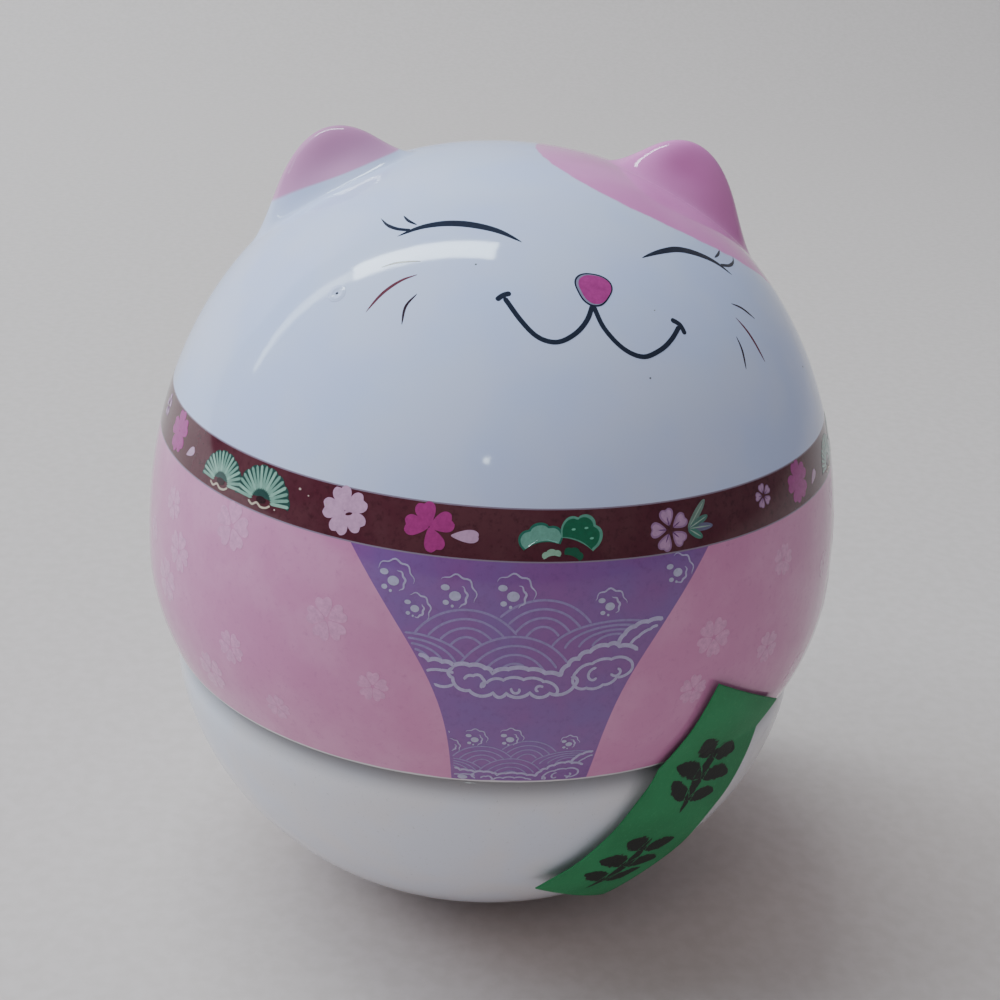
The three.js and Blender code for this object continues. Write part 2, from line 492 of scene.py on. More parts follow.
# Colours that aren't settings, by where they show
COLOURS = {name: srgb(value) for name, value in {
    "white_cool": "#c8d4f8", "white_warm": "#d1d9f5", "patch_deep": "#d87dbd", "ear": "#dc9fca",
    "ear_deep": "#c888b4", "robe_light": "#d791b9", "robe_dark": "#c077a2", "panel_blue": "#815b9e",
    "panel_dark": "#764a86", "band_light": "#5c3038", "band_dark": "#38111c", "print_edge": "#8f7f92",
    "bare": "#d9d2d6", "bisque": "#d8d0c4", "bowl_cool": "#dfe1ec", "bowl_warm": "#e4e1e5",
    "bowl_speck": "#c9c8cb", "bowl_joint_shade": "#8b8a90", "plaster": "#b9b2a2", "plaster_light": "#cbc4b4",
    "plaster_pit_shade": "#8f887a", "paper_dark": "#237d4b", "paper_fibre": "#3f9a63", "brush": "#1d1f1b",
    "floor": "#ccc0bb", "floor_grain": "#c6bab4", "surround": "#e2e2ec",
}.items()}


def add(tree, kind, inputs, out=0, **settings):
    """Adds a node with its settings and links, and returns one of its outputs. Each input is a
    value, or a socket to link from."""
    node = tree.nodes.new("ShaderNode" + kind)
    for key, value in settings.items():
        setattr(node, key, value)
    for key, value in inputs.items():
        if isinstance(value, bpy.types.NodeSocket):
            tree.links.new(value, node.inputs[key])
        else:
            node.inputs[key].default_value = value
    return node.outputs[out] if node.outputs else None


def new_material(name):
    """An empty material, its node tree and the object's own coordinates in it."""
    material = bpy.data.materials.new(name)
    material.use_nodes = True
    tree = material.node_tree
    tree.nodes.clear()
    return material, tree, add(tree, "TexCoord", {}, "Object")


def coat(tree, under, colour, mask, low, high):
    """Lays a colour over another where a mask goes from low to high, along an S curve."""
    cover = add(tree, "MapRange", {"Value": mask, "From Min": low, "From Max": high},
                interpolation_type="SMOOTHSTEP")
    return add(tree, "Mix", {0: cover, 6: under, 7: colour}, 2, data_type="RGBA")


def surface(tree, inputs):
    """Ends a material with its shader."""
    add(tree, "OutputMaterial", {"Surface": add(tree, "BsdfPrincipled", inputs)})


def stored(tree, names):
    """The numbers kept on the mesh under these names."""
    return [add(tree, "Attribute", {}, "Fac", attribute_name=name) for name in names]


def glazed(tree, where, colour, gloss, bare=0.0, matt=1.0):
    """Ends a material with fired glaze over its colour. The glaze lies in slow swells about a
    centimetre across with a very faint orange peel, and it is missing where bare is 1."""
    swell = add(tree, "TexNoise", {"Vector": where, "Scale": PER_MM / 14, "Detail": 1})
    peel = add(tree, "TexNoise", {"Vector": where, "Scale": PER_MM / 1.6, "Detail": 2})
    height = add(tree, "Math", {0: peel, 1: 0.04, 2: swell}, operation="MULTIPLY_ADD")
    relief = add(tree, "Bump", {"Height": height, "Distance": 0.1 * MM, "Strength": 1})
    roughness = add(tree, "MapRange", {"Value": bare, "From Min": 0.4, "From Max": 0.6,
                                       "To Min": gloss, "To Max": matt}, interpolation_type="SMOOTHSTEP")
    surface(tree, {"Base Color": colour, "Roughness": roughness, "IOR": 1.52, "Normal": relief})


def printed_glazed_porcelain(name):
    """Slip-cast porcelain, transfer-printed and airbrushed, under a clear gloss glaze fired at
    about 1200 C. The eye sees a cool white body with faint mottling, sharp-edged fields of print
    and soft-edged sprayed pink, all below one wet-looking coat."""
    material, tree, where = new_material(name)
    user = bpy.context.scene.figurine
    z = add(tree, "SeparateXYZ", {"Vector": where}, "Z")
    cloudy = add(tree, "TexNoise", {"Vector": where, "Scale": PER_MM / 11, "Detail": 2})
    bloom = add(tree, "TexNoise", {"Vector": where, "Scale": PER_MM / 6.5, "Detail": 3, "Roughness": 0.55})
    speck = add(tree, "TexNoise", {"Vector": where, "Scale": PER_MM / 0.7, "Detail": 3, "Roughness": 0.7})
    patch, ear, ear_deep, panel = stored(tree, ("patch", "ear", "ear_deep", "panel"))
    inner, bare = stored(tree, ("inner", "bare"))

    # The head: white, with the patch and the ears sprayed on. The spray's edge is broken by grain.
    colour = coat(tree, COLOURS["white_cool"], COLOURS["white_warm"], cloudy, 0.35, 0.65)
    grain = add(tree, "TexNoise", {"Vector": where, "Scale": PER_MM / 2, "Detail": 3})
    spray = add(tree, "Math", {0: grain, 1: 0.5, 2: patch}, operation="MULTIPLY_ADD")
    pink = coat(tree, (*user.patch, 1), COLOURS["patch_deep"], cloudy, 0.3, 0.7)
    colour = coat(tree, colour, pink, spray, 0.05, 0.35)
    pink = coat(tree, COLOURS["ear"], COLOURS["ear_deep"], ear_deep, 0.1, 1)
    colour = coat(tree, colour, pink, ear, -0.25, 0.25)

    # The robe and its panel, then the band with a fine line at each edge
    robe = coat(tree, (*user.robe, 1), COLOURS["robe_light"], bloom, 0.35, 0.72)
    robe = coat(tree, robe, COLOURS["robe_dark"], speck, 0.5, 0.95)
    front = coat(tree, (*user.panel, 1), COLOURS["panel_blue"], bloom, 0.3, 0.7)
    front = coat(tree, front, COLOURS["panel_dark"], speck, 0.45, 0.95)
    robe = coat(tree, robe, front, panel, -0.04, 0.04)
    band = coat(tree, (*user.band, 1), COLOURS["band_light"], bloom, 0.38, 0.68)
    band = coat(tree, band, COLOURS["band_dark"], speck, 0.45, 0.9)
    colour = coat(tree, colour, band, z, (BAND_HIGH + 0.02) * MM, (BAND_HIGH - 0.02) * MM)
    colour = coat(tree, colour, robe, z, (BAND_LOW + 0.02) * MM, (BAND_LOW - 0.02) * MM)
    for level in (BAND_LOW, BAND_HIGH):
        line = add(tree, "Math", {0: z, 1: level * MM, 2: 0.07 * MM}, operation="COMPARE")
        colour = coat(tree, colour, COLOURS["print_edge"], line, 0, 1)

    # The print stops just short of the shell's lower edge, along a slightly wavy line
    waver = add(tree, "TexNoise", {"Vector": where, "Scale": PER_MM / 4, "Detail": 2})
    edge = add(tree, "Math", {0: waver, 1: -0.25 * MM, 2: z}, operation="MULTIPLY_ADD")
    colour = coat(tree, colour, COLOURS["bare"], edge, (SEAM_Z + BARE_EDGE - 0.08) * MM,
                  (SEAM_Z + BARE_EDGE - 0.16) * MM)
    colour = coat(tree, colour, COLOURS["white_warm"], inner, 0.4, 0.6)
    colour = coat(tree, colour, COLOURS["bisque"], bare, 0.4, 0.6)
    glazed(tree, where, colour, 0.07, bare, 0.7)
    return material


def clear_glazed_porcelain(name):
    """The same body and glaze with no print. Bare clay shows where the glaze was wiped off the
    foot and the seating faces, so that the two halves don't fuse in the kiln. The top 3 mm or so
    are darkened as painted shadow, the shade that the shell's overhanging edge casts on the bowl."""
    material, tree, where = new_material(name)
    z = add(tree, "SeparateXYZ", {"Vector": where}, "Z")
    cloudy = add(tree, "TexNoise", {"Vector": where, "Scale": PER_MM / 9, "Detail": 2})
    speck = add(tree, "TexNoise", {"Vector": where, "Scale": PER_MM / 0.35, "Detail": 2, "Roughness": 0.8})
    bare, = stored(tree, ("bare",))
    unshaded = coat(tree, COLOURS["bowl_cool"], COLOURS["bowl_warm"], cloudy, 0.35, 0.65)
    unshaded = coat(tree, unshaded, COLOURS["bowl_speck"], speck, 0.62, 0.8)
    # Painted shadow: the colour darkens towards the joint, where the shell's edge overhangs the bowl
    under_rim_shade = add(tree, "Mix", {0: 0.7, 6: unshaded, 7: COLOURS["bowl_joint_shade"]}, 2, data_type="RGBA")
    colour = coat(tree, unshaded, under_rim_shade, z, (SEAM_Z - JOINT_SHADE_FROM) * MM, (SEAM_Z - JOINT_SHADE_FULL) * MM)
    colour = coat(tree, colour, COLOURS["bisque"], bare, 0.4, 0.6)
    glazed(tree, where, colour, 0.08, bare, 0.75)
    return material


def fired_transfer_ink(name):
    """Ceramic colour screen-printed on a transfer and fired under the glaze: flat opaque colour
    with slightly uneven density, as glossy as the glaze round it."""
    material, tree, where = new_material(name)
    ink = add(tree, "Attribute", {}, "Color", attribute_name="ink")
    grain = add(tree, "TexNoise", {"Vector": where, "Scale": PER_MM / 0.5, "Detail": 3, "Roughness": 0.7})
    shade = add(tree, "MapRange", {"Value": grain, "From Min": 0.3, "From Max": 0.7,
                                   "To Min": 0.86, "To Max": 1.12})
    glazed(tree, where, add(tree, "VectorMath", {0: ink, "Scale": shade}, operation="SCALE"), 0.08)
    return material


def cast_plaster(name):
    """Plaster poured as a weight: matt, chalky, with fine pits from air bubbles. The bubbles are
    drawn 1.3 mm apart, coarser than real ones, so that they show. Their middles are darkened as
    painted shade."""
    material, tree, where = new_material(name)
    tone = add(tree, "TexNoise", {"Vector": where, "Scale": PER_MM / 5, "Detail": 4})
    cells = add(tree, "TexVoronoi", {"Vector": where, "Scale": PER_MM / 1.3}, "Distance")
    pits = add(tree, "MapRange", {"Value": cells, "From Min": 0, "From Max": 0.22},
               interpolation_type="SMOOTHSTEP")
    relief = add(tree, "Bump", {"Height": pits, "Distance": 0.12 * MM, "Strength": 1})
    colour = coat(tree, COLOURS["plaster"], COLOURS["plaster_light"], tone, 0.3, 0.7)
    # Painted shade: each pit is darker towards its middle
    colour = coat(tree, COLOURS["plaster_pit_shade"], colour, cells, 0, 0.22)
    surface(tree, {"Base Color": colour, "Roughness": 0.92, "Normal": relief})
    return material


def green_seal_paper(name, brushed=False):
    """Thin coloured paper, gummed on: a matt green with short fibres and uneven tone. Where it is
    brushed, the colour sinks in, so it stays matt and its edges are ragged."""
    material, tree, where = new_material(name)
    fibre = add(tree, "TexNoise", {"Vector": where, "Scale": PER_MM / 0.45, "Detail": 5, "Roughness": 0.75})
    tone = add(tree, "TexNoise", {"Vector": where, "Scale": PER_MM / 7, "Detail": 3})
    colour = coat(tree, (*bpy.context.scene.figurine_seal.paper, 1), COLOURS["paper_dark"], tone, 0.3, 0.7)
    colour = coat(tree, colour, COLOURS["paper_fibre"], fibre, 0.5, 0.85)
    if brushed:
        edge, = stored(tree, ("edge",))
        tooth = add(tree, "TexNoise", {"Vector": where, "Scale": PER_MM / 0.6, "Detail": 4, "Roughness": 0.7})
        ragged = add(tree, "Math", {0: tooth, 1: 0.9, 2: edge}, operation="MULTIPLY_ADD")
        colour = coat(tree, colour, COLOURS["brush"], ragged, 1.38, 1.2)
    relief = add(tree, "Bump", {"Height": fibre, "Distance": 0.03 * MM, "Strength": 1})
    surface(tree, {"Base Color": colour, "Roughness": 0.62, "IOR": 1.45, "Normal": relief})
    return material


def brushed_seal_ink(name):
    """Black brush colour soaked into the same paper."""
    return green_seal_paper(name, True)


def background_paper(name):
    """Seamless background paper: matt and even."""
    material, tree, where = new_material(name)
    grain = add(tree, "TexNoise", {"Vector": where, "Scale": PER_MM / 2, "Detail": 3})
    colour = coat(tree, COLOURS["floor"], COLOURS["floor_grain"], grain, 0.3, 0.7)
    surface(tree, {"Base Color": colour, "Roughness": 0.8})
    return material


# ---------------------------------------------------------------- settings

def length_setting(name, description, millimetres, least):
    return FloatProperty(name=name, description=description, default=millimetres * MM,
                         min=least * MM, unit="LENGTH")


def colour_setting(name, description, hex_colour):
    return FloatVectorProperty(name=name, description=description, subtype="COLOR",
                               default=srgb(hex_colour)[:3], min=0, max=1)


def power_setting(name, description, watts):
    return FloatProperty(name=name, description=description, default=watts, min=0, unit="POWER")


class FigurineSettings(PropertyGroup):
    wall: length_setting("Shell wall", "Thickness of the upper shell's wall", SHELL_WALL, 1)
    line: length_setting("Face line", "Width of the mouth's printed line", 0.5, 0.1)
    patch: colour_setting("Patch", "Colour sprayed on the head", "#e48cca")
    robe: colour_setting("Robe", "Colour of the robe", "#cf83af")
    panel: colour_setting("Panel", "Colour of the robe's front panel", "#8a5497")
    band: colour_setting("Band", "Colour of the collar band", "#521e2c")


class SealSettings(PropertyGroup):
    width: length_setting("Seal width", "Width of the paper strip", 13.9, 4)
    length: length_setting("Seal length", "Length of the paper strip", 32, 10)
    lift: length_setting("Seal lift", "Distance from the glaze to the paper", 0.7, 0.1)
    paper: colour_setting("Paper", "Colour of the paper strip", "#2a8a55")


class StageSettings(PropertyGroup):
    strip_power: power_setting("Strip light", "Power of the long strip light", 11)
    window_power: power_setting("Window light", "Power of the large cool light on the left", 26)
    fill_power: power_setting("Fill light", "Power of the large soft light", 5)
    sky: FloatProperty(name="Surround", description="Brightness of the even surround light",
                       default=0.24, min=0)


# ---------------------------------------------------------------- pieces

def ride_on(piece, body, slot, make, *nodes):
    """Gives a piece its material, made the first time it is asked for, and its body, and hides the
    CAD nodes that it replaces. The slot is not used."""
    name = make.__name__
    piece.data.materials.append(bpy.data.materials.get(name) or make(name))
    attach(piece, body)
    if nodes:
        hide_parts(*nodes)


def print_on_shell(marks, name):
    """Makes one piece of the marks, in fired ink, that moves with the shell."""
    ride_on(marks.finish(name), "shell", "printed_porcelain", fired_transfer_ink)


def panel_half(z):
    """Half width in degrees of the front panel: constant low down, and opening in a straight line
    above, joined as s ln(1 + e^((z - z0) / s))."""
    return PANEL_HALF + PANEL_SPREAD * PANEL_BEND * np.log1p(np.exp((z - PANEL_BEND_Z) / PANEL_BEND))


class CAT_OT_upper_shell(Operator):
    """Head and robe in one casting with its ears, open below"""
    bl_idname = "figurine.upper_shell"
    bl_label = "Upper shell"

    def execute(self, context):
        wall = context.scene.figurine.wall / MM
        columns = 400
        # Columns are closer together at the sides, and rows near the top, where the ears are
        azimuth = loop(columns) + 0.3 * np.sin(2 * loop(columns))
        crown = np.radians(np.concatenate([np.linspace(89.3, 40, 104), np.linspace(38, 0, 34)]))
        crown_z = WIDEST_Z + CROWN_RISE * np.sin(crown) ** (2 / CROWN_POWER)
        outer_z = np.concatenate([crown_z, np.linspace(WIDEST_Z, SEAM_Z + 0.7, 18)[1:]])
        outer = np.stack([shell_radius(outer_z), outer_z], -1)
        corners = [outer[-1]]
        for z, off in ((SEAM_Z, 0), (SEAM_Z, -wall), (SEAM_Z + 1, -wall)):
            corners.append([float(shell_radius(z, off)), z])
        rim = rounded(corners, [0, 0.45, 0.4, 0], 6)[1:]
        vault = (CROWN_RISE - wall) * np.sin(np.radians(np.linspace(0, 88, 34))) ** (2 / CROWN_POWER)
        inner_z = np.concatenate([np.linspace(SEAM_Z + 1.6, WIDEST_Z - 1, 8), WIDEST_Z + vault])
        inner = np.stack([shell_radius(inner_z, -wall), inner_z], -1)
        profile = np.concatenate([outer, rim, inner])
        ring = around(profile[:, :1], profile[:, 1:], azimuth)
        skin = ring.copy()
        skin[:len(outer)] = with_ears(ring[:len(outer)])
        piece = close_rings("porcelain_upper_shell", skin, CROWN_Z, CROWN_Z - wall)

        # The fields of colour are worked out on the turned surface, before the ears raise it
        flat = np.concatenate([ring.reshape(-1, 3), [[0, 0, CROWN_Z]], [[0, 0, CROWN_Z - wall]]])
        rows = np.concatenate([np.repeat(np.arange(len(profile)), columns), [0, len(profile) - 1]])
        inside = rows >= len(outer) + len(rim) - 1
        masks = {name: np.where(inside, -1, values) for name, values in self.masks(flat).items()}
        masks["inner"] = inside
        masks["bare"] = (rows >= len(outer) + 4) & ~inside
        for name, values in masks.items():
            store(piece, name, values)
        ride_on(piece, "shell", "printed_porcelain", printed_glazed_porcelain, "upper_shell")
        return {"FINISHED"}

    @staticmethod
    def masks(p):
        """Millimetres inside each field of colour: the panel, the sprayed patch and the left ear.
        The patch is where an ellipse seen from above covers the head. The left ear's colour stops
        at its crease, and a little above it on the ear's outer side."""
        degrees = np.degrees(np.arctan2(p[:, 0], -p[:, 1]))
        panel = np.radians(panel_half(p[:, 2]) - np.abs(degrees - PANEL_MIDDLE)) * PANEL_RADIUS
        away = p[:, :2] - np.array(PATCH_CENTRE)
        away[:, 1] = np.where(away[:, 1] > 0, PATCH_BACK * away[:, 1], away[:, 1])
        away = turn_flat(away, PATCH_TURN) / np.array(PATCH_HALF)
        patch = PATCH_HALF[1] * (1 - np.hypot(away[:, 0], away[:, 1]))
        patch = np.where(p[:, 2] > WIDEST_Z, patch, -9)
        ear = ear_height(p, -1) - 0.155 * np.clip(-p[:, 0] - 12, 0, None)
        deep = np.linalg.norm(ear_lift(p, -1) + ear_lift(p, 1), axis=1) / 5
        return {"panel": panel, "patch": patch, "ear": ear, "ear_deep": deep}


class CAT_OT_lower_bowl(Operator):
    """Round white bowl with a locating ring inside its rim and a small flat foot"""
    bl_idname = "figurine.lower_bowl"
    bl_label = "Lower bowl"

    def execute(self, context):
        # Outside, downwards: the rim's quarter ellipse is taken off the bowl's own elliptical curve
        start = math.acos(FOOT_RADIUS / BOWL_RADIUS)
        turn = np.linspace(0, np.pi / 2, 22)[:-1]
        shoulder = np.arcsin(RIM_ROUND * (1 - np.cos(turn)) / BOWL_DEPTH)
        below = np.linspace(math.asin(RIM_ROUND / BOWL_DEPTH), start, 64)
        angle = np.concatenate([shoulder, below])
        inset = RIM_INSET * np.concatenate([1 - np.sin(turn), np.zeros(64)])
        outer = np.stack([BOWL_RADIUS * np.cos(angle) - inset, BOWL_TOP - BOWL_DEPTH * np.sin(angle)], -1)
        # Inside, upwards: the same curve, less the wall, and then the upstanding ring
        radius, depth = BOWL_RADIUS - BOWL_WALL, BOWL_DEPTH - BOWL_WALL
        angle = np.linspace(math.acos(COLLAR_INNER / radius) + 0.25, np.pi / 2 - 0.02, 46)[::-1]
        inner = np.stack([radius * np.cos(angle), BOWL_TOP - depth * np.sin(angle)], -1)
        ring_top = BOWL_TOP + COLLAR_RISE
        lip = rounded([inner[-1], [COLLAR_INNER, BOWL_TOP - 3], [COLLAR_INNER, ring_top],
                       [COLLAR_OUTER, ring_top], [COLLAR_OUTER, BOWL_TOP], outer[0]],
                      [0, 6, 0.6, 0.6, 0.4, 0], 8)[1:-1]
        foot = rounded([outer[-1], [FOOT_RADIUS, 0.0], [7.2, 0.0], [6.6, 0.35], [0, 0.35]],
                       [0, 0.3, 0.2, 0.3, 0], 4)[1:-1]
        profile = np.concatenate([[[0, BOWL_TOP - depth]], inner, lip, outer, foot, [[0, 0.35]]])
        columns = 320
        piece = turned_piece("porcelain_lower_bowl", profile, columns)
        r, z = np.concatenate([np.repeat(profile[1:-1], columns, 0), profile[:1], profile[-1:]]).T
        seat = (r > COLLAR_OUTER - 0.1) & (r < BOWL_RADIUS - RIM_INSET + 0.1)
        seat &= (z > BOWL_TOP - 0.1) & (z < BOWL_TOP + 0.6)
        store(piece, "bare", seat | ((z < 0.4) & (r < FOOT_RADIUS + 0.3)))
        ride_on(piece, "bowl", "white_porcelain", clear_glazed_porcelain, "lower_bowl")
        return {"FINISHED"}


class CAT_OT_cast_weight(Operator):
    """Plaster weight that fills the bottom of the bowl"""
    bl_idname = "figurine.cast_weight"
    bl_label = "Cast weight"

    def execute(self, context):
        radius = BOWL_RADIUS - BOWL_WALL - WEIGHT_GAP
        depth = BOWL_DEPTH - BOWL_WALL - WEIGHT_GAP
        # The top's meniscus rises to the bowl's wall, and below it the weight fills the bowl's curve
        edge = math.asin((BOWL_TOP - WEIGHT_TOP) / depth)
        angle = np.linspace(edge + 0.02, np.pi / 2 - 0.03, 34)
        under = np.stack([radius * np.cos(angle), BOWL_TOP - depth * np.sin(angle)], -1)
        rim = radius * math.cos(edge)
        dish_z = WEIGHT_TOP - 0.35
        shoulder = rounded([[rim - 4, dish_z], [rim, WEIGHT_TOP + 0.1], under[1]], [0, 0.7, 0], 7)
        dish_r = np.linspace(0, rim - 4, 24)[:-1]
        dish = np.stack([dish_r, np.full(23, dish_z)], -1)
        profile = np.concatenate([dish, shoulder[:-1], under[2:], [[0, BOWL_TOP - depth]]])
        piece = turned_piece("plaster_cast_weight", profile, 200)
        co = np.zeros(len(piece.data.vertices) * 3, np.float32)
        piece.data.vertices.foreach_get("co", co)
        co = co.reshape(-1, 3)
        x, y, z = co.T / MM
        # The poured top isn't quite level: two crossed sine waves raise and lower it
        swell = 0.16 * np.sin(0.31 * x + 0.6) * np.cos(0.27 * y) + 0.07 * np.sin(0.83 * x - 0.5 * y)
        co[:, 2] += swell * np.clip((z - (WEIGHT_TOP - 1.2)) / 0.8, 0, 1) * MM
        piece.data.vertices.foreach_set("co", co.reshape(-1))
        piece.data.update()
        ride_on(piece, "bowl", "cast_plaster", cast_plaster, "cast_weight")
        return {"FINISHED"}


SLATE, BROWN, RED = "#232a3b", "#3a2a34", "#6d3a46"

# Lines of the face: width (none takes the setting), taper, ink, then azimuths and heights
FACE_LINES = (
    # Eyes, each with two lashes
    (0.86, "swell", SLATE, ((-37.6, 82.8), (-33, 83.7), (-27.5, 84.2), (-22, 84.4), (-16, 84.4),
                            (-9, 84.15), (-2.2, 83.5))),
    (0.4, "start", SLATE, ((-47.6, 83.7), (-43.5, 83.4), (-39.5, 83.3), (-35.2, 83.4))),
    (0.3, "swell", SLATE, ((-41, 84.25), (-38, 84.0), (-34.4, 83.85))),
    (0.78, "swell", SLATE, ((31.1, 82.1), (35.1, 82.25), (40, 82.3), (45, 82.2), (49.4, 81.8),
                            (53.7, 81.1), (56.7, 80.3), (59, 79.1))),
    (0.38, "start", SLATE, ((67.9, 80.0), (65.2, 79.75), (61.5, 79.75), (57.6, 80.1))),
    (0.3, "swell", SLATE, ((63.6, 80.95), (60.8, 80.8), (57.8, 80.75))),
    # Three marks on each cheek
    (0.2, "swell", BROWN, ((-36.3, 80.4), (-33.6, 80.9), (-30.6, 81.2), (-27.4, 81.4))),
    (0.32, "swell", RED, ((-26.8, 80.4), (-30.1, 79.7), (-32.8, 78.5), (-34.4, 76.9))),
    (0.25, "swell", BROWN, ((-25.1, 79.0), (-26.5, 77.9), (-26.0, 76.5))),
    (0.24, "swell", BROWN, ((50.4, 77.3), (53.3, 76.6), (55.8, 75.4))),
    (0.3, "swell", RED, ((49.0, 76.2), (50.6, 74.5), (51.4, 71.9))),
    (0.25, "swell", BROWN, ((45.9, 74.8), (45.7, 73.6), (44.5, 72.0))),
    # Mouth, with a short stroke across each end
    (None, "round", SLATE, ((13.0, 79.0), (10.9, 77.8), (8.0, 76.8), (4.4, 76.2), (0.8, 76.55),
                            (-2.5, 77.75), (-6.5, 79.55))),
    (0.55, "round", SLATE, ((-7.9, 79.2), (-6.5, 79.6), (-4.8, 79.8))),
    (None, "round", SLATE, ((13.0, 79.0), (14.3, 77.2), (17.3, 75.55), (21.0, 74.75), (25.0, 75.1),
                            (28.4, 75.8), (31.7, 76.75))),
    (0.55, "round", SLATE, ((30.2, 77.35), (31.9, 76.8), (32.2, 76.0))),
)


class CAT_OT_face_print(Operator):
    """Closed smiling eyes with lashes, cheek marks, nose and mouth"""
    bl_idname = "figurine.face_print"
    bl_label = "Face print"

    def execute(self, context):
        marks = Marks()
        line = context.scene.figurine.line / MM
        for width, taper, ink, points in FACE_LINES:
            marks.stroke(place(*zip(*points)), width or line, ink, 0, 44, taper)
        # The nose is a rounded triangle, pointing down: its outline, a pale gap and its middle
        a = loop(48)
        reach = 1 + 0.08 * np.cos(3 * a - math.pi / 2) - 0.05 * np.cos(2 * a)
        nose = np.stack([2.0 * np.cos(a) * reach, 1.85 * np.sin(a) * reach], -1)
        on_nose = chart_at(14.2, 80.2, -14)
        marks.blob(on_nose, nose, SLATE, 1)
        marks.blob(on_nose, nose * 0.91, "#8d8ba6", 2)
        marks.blob(on_nose, nose * 0.86 + np.array([0.13, 0.02]), "#ad3c86", 3)
        print_on_shell(marks, "face_print")
        return {"FINISHED"}


class CAT_OT_collar_print(Operator):
    """Blossoms, fans and clouds on the dark collar band, repeated three times round"""
    bl_idname = "figurine.collar_print"
    bl_label = "Collar print"

    def execute(self, context):
        marks = Marks()
        for turn in (0, 120, 240):
            chart = chart_at(turn - 68.9, 60.2, 100)
            self.blossom(marks, chart, 2.35, "#a43586", (0, 75, 150, 215, 290), 0.12)
            self.loose_petal(marks, chart_at(turn - 62.6, 59.4, 35), 1.9, "#c49bbc")
            self.fan(marks, chart_at(turn - 52.3, 58.5, 1), 3.3)
            self.fan(marks, chart_at(turn - 42.8, 58.6, 2), 3.6)
            self.dots(marks, chart_at(turn - 36, 60))
            chart = chart_at(turn - 27.9, 60.2, 110)
            self.blossom(marks, chart, 2.5, "#cf9fc1", (0, 72, 144, 216, 288), 0.12)
            marks.blob(chart_at(turn - 27.2, 60.0, 20), oval(0.75, 0.28), "#4a1c28", 1)
            self.blossom(marks, chart_at(turn - 14.9, 60.1, 108), 2.5, "#ab3580", (-85, 0, 72, 185), 0.1)
            self.loose_petal(marks, chart_at(turn - 9.6, 59.6, 2), 2.7, "#c79dbe")
            self.pines(marks, chart_at(turn + 1.4, 59.1, 10), chart_at(turn + 6.7, 59.4, -24))
            self.lilac(marks, chart_at(turn + 21.2, 59.7, 12), 2.2)
            self.leaves(marks, chart_at(turn + 24.4, 59.5))
            self.lilac(marks, chart_at(turn + 40.5, 60.6, 12), 1.3)
        print_on_shell(marks, "collar_print")
        return {"FINISHED"}

    @staticmethod
    def blossom(marks, chart, size, ink, angles, notch):
        """Broad petals that touch, each an egg with a nicked tip."""
        for angle in angles:
            marks.blob(chart, petal(size, size * 0.85, angle, notch, 0.02), ink)

    @staticmethod
    def loose_petal(marks, chart, length, ink):
        """One fallen petal, with its middle on the spot."""
        marks.blob(chart, petal(length, length * 0.5, 0, 0.04, 0.0) - np.array([length / 2, 0]), ink)

    @staticmethod
    def dots(marks, chart):
        """Specks of gold dust between the fans and the pale blossom."""
        for across, up, size in ((0, 1.1, 0.3), (1.1, 0.7, 0.18), (-1.2, -1.2, 0.14), (3.2, 0.4, 0.16),
                                 (-2.6, -1.7, 0.2)):
            marks.blob(chart, oval(size, size * 0.8, 12, 0, (across, up)), "#c8b1a8", 0, 1)

    @staticmethod
    def fan(marks, chart, size):
        """A half-round pine fan: a dark half disc with a scalloped edge, pale ribs that spread from
        its middle, and a curl of cream below."""
        ribs = 17
        t = np.linspace(0, np.pi, 91)
        edge = size * (1 + 0.05 * np.abs(np.sin(ribs * t / 2)))
        arc = np.stack([edge * np.cos(t), edge * np.sin(t) * 0.98], -1)
        across = np.linspace(-1, 1, 22)[1:-1]
        base = np.stack([size * across, 0.5 * np.cos(1.5 * across) - 0.05], -1)
        marks.blob(chart, np.concatenate([arc, base]), "#2b4b45")
        for k in range(ribs):
            angle = math.pi * (k + 0.5) / ribs
            ends = size * np.outer([0.34, 0.7, 1.02], [math.cos(angle), math.sin(angle)])
            marks.stroke(chart(ends), size * 0.09, "#7ba493" if k % 3 else "#8fb8a5", 1, 12)
        marks.blob(chart, oval(1.3, 0.7, 24, 0, (0, 0.2)), "#32181f", 2, 2)
        curl = [(-1.7, -0.2), (-1.1, -0.5), (-0.5, -0.2), (0.1, -0.5), (0.8, -0.42), (1.3, -0.1)]
        marks.stroke(chart(np.array(curl)), 0.2, "#cdbca8", 3)

    @staticmethod
    def pines(marks, left, right):
        """Two lobed pine clouds, pale and dark, with two small ones under them."""
        marks.blob(left, cloud(4.6, 2.2, 0.55), "#2b6f5e")
        marks.blob(left, cloud(4.4, 2.0, 0.6) * 0.94 + np.array([0, 0.05]), "#6fa997", 1)
        marks.blob(right, cloud(4.5, 2.75, 0.35), "#5f9f89", 1)
        marks.blob(right, cloud(4.2, 2.5, 0.4) * 0.95 + np.array([-0.05, 0.06]), "#14684a", 2)
        for spot in ((-0.9, 0.9), (0.2, 1.5), (1.1, 0.8)):
            marks.blob(right, oval(0.4, 0.22, 12, 30, spot), "#74c3a4", 3, 1)
        marks.blob(left, cloud(2.0, 0.8, 0.25) + np.array([0.8, -1.3]), "#8fb89e", 1)
        marks.blob(right, cloud(2.1, 0.95, 0.2) + np.array([0.1, -1.55]), "#1a5c43", 1)

    @staticmethod
    def lilac(marks, chart, size):
        """Five separate petals, each a darker egg with a paler one inside it and a fine vein."""
        for angle in range(18, 378, 72):
            marks.blob(chart, petal(size, size * 0.76, angle, 0.08, 0.2), "#a077a0")
            marks.blob(chart, petal(size * 0.93, size * 0.56, angle, 0.1, 0.34), "#bb93b6", 1)
            vein = turn_flat(np.array([[size * 0.15, 0], [size * 0.6, 0]]), angle)
            marks.stroke(chart(vein), size * 0.05, "#6d3f78", 2, 8, "swell")

